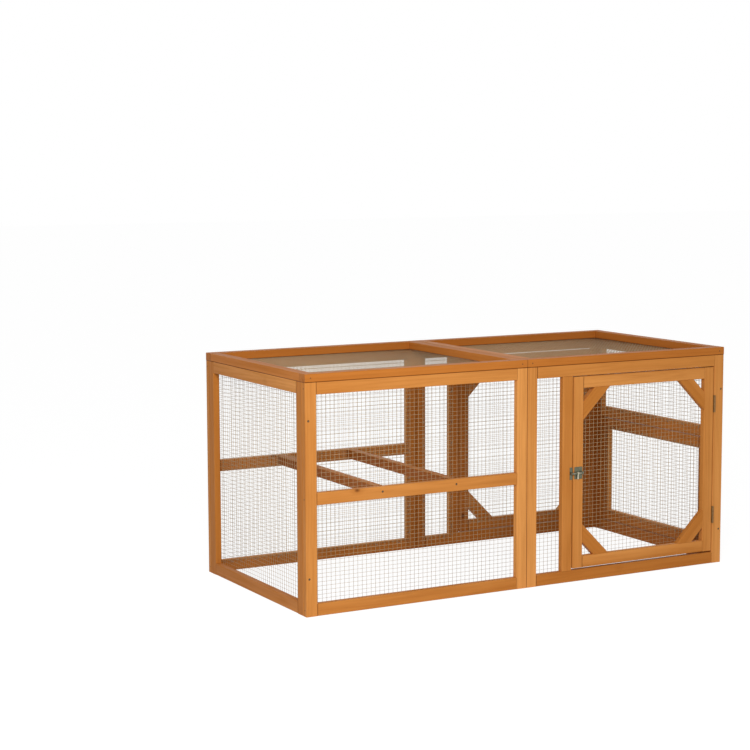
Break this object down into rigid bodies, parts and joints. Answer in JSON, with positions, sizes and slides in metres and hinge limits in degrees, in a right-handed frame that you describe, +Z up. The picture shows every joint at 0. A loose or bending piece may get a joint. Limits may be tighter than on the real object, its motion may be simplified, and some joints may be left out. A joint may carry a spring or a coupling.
{
  "type": "chicken run",
  "caption": "Low floorless poultry run of stained timber frames and wire mesh, with hinged doors in front, at the back and at one end, flat mesh roof and perches.",
  "frame": {"origin": "ground level, in the middle of all that the run covers, hardware included", "axes": "+X along the run towards its end door, +Y from the front to the back, +Z up"},
  "size_m": [1.5098, 0.7098, 0.7],
  "materials": {
    "stained_wood": "satin orange-brown stain on softwood",
    "roof_wood": "satin orange-brown stain on softwood",
    "perch_wood": "satin orange-brown stain on softwood",
    "galvanised_wire": "galvanised, dull",
    "zinc_hardware": "passivated zinc, dull",
    "bright_zinc": "zinc, brighter where it is handled",
    "screw_steel": "plated, dark in the recess"
  },
  "bodies": {
    "run_frame": {"front_left_stiles": "stained_wood", "front_left_rails": "stained_wood", "front_left_mesh": "galvanised_wire", "front_right_stiles": "stained_wood", "front_right_rails": "stained_wood", "front_right_mesh": "galvanised_wire", "back_left_stiles": "stained_wood", "back_left_rails": "stained_wood", "back_left_mesh": "galvanised_wire", "back_right_stiles": "stained_wood", "back_right_rails": "stained_wood", "back_right_mesh": "galvanised_wire", "left_end_stiles": "stained_wood", "left_end_rails": "stained_wood", "left_end_mesh": "galvanised_wire", "right_end_stiles": "stained_wood", "right_end_rails": "stained_wood", "right_end_mesh": "galvanised_wire", "perches": "perch_wood", "roof_left_long_rails": "roof_wood", "roof_left_cross_rails": "roof_wood", "roof_left_mesh": "galvanised_wire", "roof_right_long_rails": "roof_wood", "roof_right_cross_rails": "roof_wood", "roof_right_mesh": "galvanised_wire", "front_frame_hinge_leaves": "zinc_hardware", "front_hinge_pins": "zinc_hardware", "front_bolt_keeper": "zinc_hardware", "back_frame_hinge_leaves": "zinc_hardware", "back_hinge_pins": "zinc_hardware", "back_bolt_keeper": "zinc_hardware", "end_frame_hinge_leaves": "zinc_hardware", "end_hinge_pins": "zinc_hardware", "end_bolt_keeper": "zinc_hardware", "wall_screws": "screw_steel", "roof_screws": "screw_steel"},
    "front_door": {"front_door_stiles": "stained_wood", "front_door_rails": "stained_wood", "front_door_braces": "stained_wood", "front_door_mesh": "galvanised_wire", "front_door_hinge_leaves": "zinc_hardware", "front_bolt_plate": "zinc_hardware"},
    "front_bolt": {"front_bolt_rod": "bright_zinc"},
    "front_bolt_handle": {"front_bolt_knob": "bright_zinc"},
    "back_door": {"back_door_stiles": "stained_wood", "back_door_rails": "stained_wood", "back_door_braces": "stained_wood", "back_door_mesh": "galvanised_wire", "back_door_hinge_leaves": "zinc_hardware", "back_bolt_plate": "zinc_hardware"},
    "back_bolt": {"back_bolt_rod": "bright_zinc"},
    "back_bolt_handle": {"back_bolt_knob": "bright_zinc"},
    "end_door": {"end_door_stiles": "stained_wood", "end_door_rails": "stained_wood", "end_door_mesh": "galvanised_wire", "end_door_hinge_leaves": "zinc_hardware", "end_bolt_plate": "zinc_hardware"},
    "end_bolt": {"end_bolt_rod": "bright_zinc"},
    "end_bolt_handle": {"end_bolt_knob": "bright_zinc"}
  },
  "joints": [
    {"name": "front_door_swing", "type": "hinge", "parent": "run_frame", "child": "front_door", "pos_m": [0.70756, -0.3484, 0.338], "axis": [0, 0, 1], "range_deg": [0, 175]},
    {"name": "front_bolt_slide", "type": "slide", "parent": "front_door", "child": "front_bolt", "axis": [1, 0, 0], "range_m": [0, 0.01]},
    {"name": "front_bolt_turn", "type": "hinge", "parent": "front_bolt", "child": "front_bolt_handle", "pos_m": [0.17856, -0.3506, 0.3395], "axis": [-1, 0, 0], "range_deg": [0, 180]},
    {"name": "back_door_swing", "type": "hinge", "parent": "run_frame", "child": "back_door", "pos_m": [0.70756, 0.3484, 0.338], "axis": [0, 0, -1], "range_deg": [0, 175]},
    {"name": "back_bolt_slide", "type": "slide", "parent": "back_door", "child": "back_bolt", "axis": [1, 0, 0], "range_m": [0, 0.01]},
    {"name": "back_bolt_turn", "type": "hinge", "parent": "back_bolt", "child": "back_bolt_handle", "pos_m": [0.17856, 0.3506, 0.338], "axis": [1, 0, 0], "range_deg": [0, 180]},
    {"name": "end_door_swing", "type": "hinge", "parent": "run_frame", "child": "end_door", "pos_m": [0.74846, 0.2875, 0.219], "axis": [0, 0, 1], "range_deg": [0, 90]},
    {"name": "end_bolt_slide", "type": "slide", "parent": "end_door", "child": "end_bolt", "axis": [0, 1, 0], "range_m": [0, 0.01]},
    {"name": "end_bolt_turn", "type": "hinge", "parent": "end_bolt", "child": "end_bolt_handle", "pos_m": [0.75066, -0.2715, 0.219], "axis": [0, -1, 0], "range_deg": [0, 180]}
  ]
}
